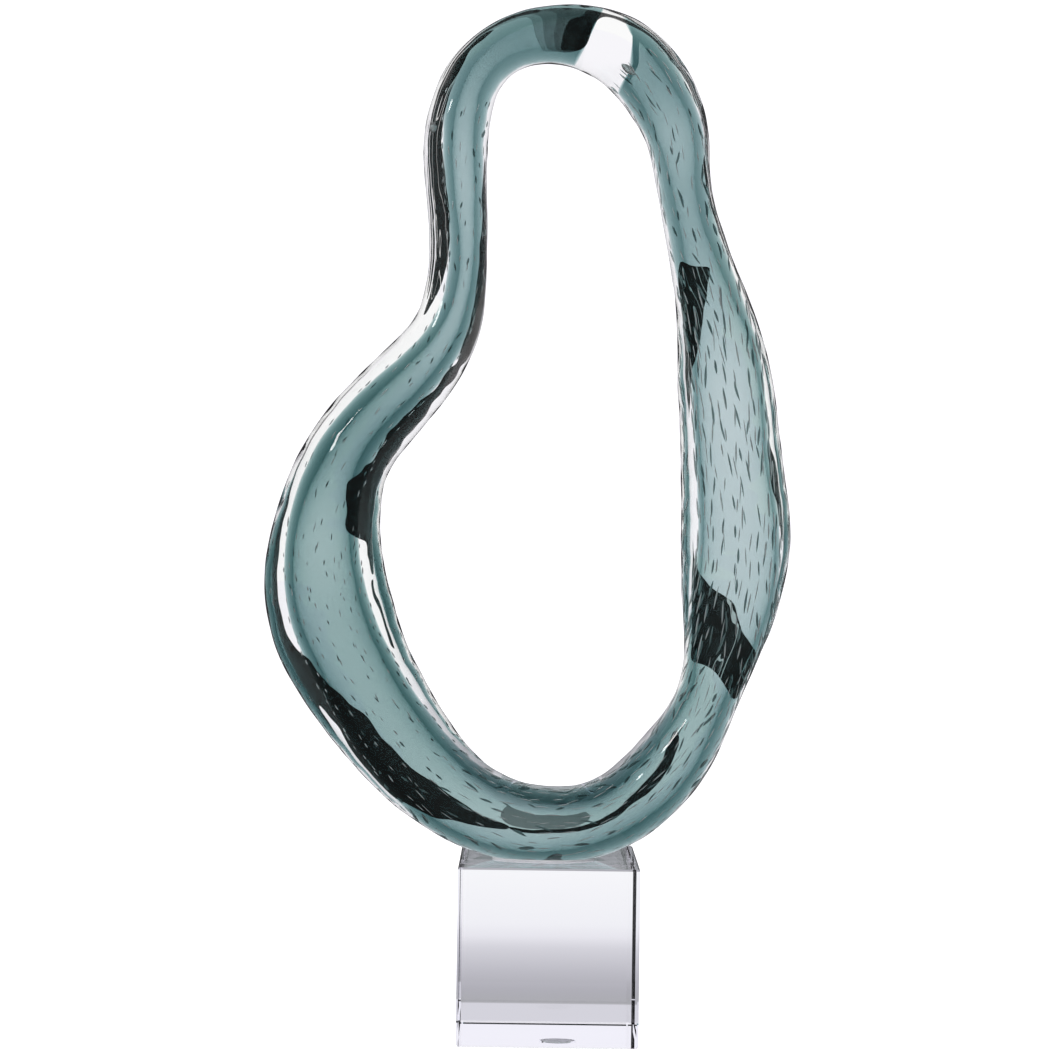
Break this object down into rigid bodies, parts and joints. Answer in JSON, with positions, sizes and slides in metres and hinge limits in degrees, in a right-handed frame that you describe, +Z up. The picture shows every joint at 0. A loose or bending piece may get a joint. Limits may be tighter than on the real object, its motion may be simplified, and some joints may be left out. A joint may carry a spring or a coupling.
{
  "type": "glass sculpture",
  "caption": "Free-form ring of glass, teal round a clear heart and cased in clear, with trapped bubbles, bonded upright on a clear crystal block; a free-standing ornament.",
  "frame": {"origin": "centre of the crystal block's underside, on the surface that the sculpture stands on", "axes": "+Z up, the ring lies in the XZ plane with its bulge toward -X, and the pictured side faces -Y"},
  "size_m": [0.2953, 0.1, 0.5785],
  "materials": {
    "clear_glass": "fire-polished clear glass",
    "teal_glass": "grey-green transparent glass",
    "clear_adhesive": "cured clear adhesive",
    "optical_crystal": "ground and polished crystal",
    "silver_label": "plain silver-grey sticker, satin"
  },
  "bodies": {
    "root": {"clear_casing": "clear_glass", "teal_core": "teal_glass", "clear_heart": "clear_glass", "clear_seam": "clear_glass", "bond_film": "clear_adhesive", "crystal_block": "optical_crystal", "underside_label": "silver_label"}
  },
  "joints": []
}
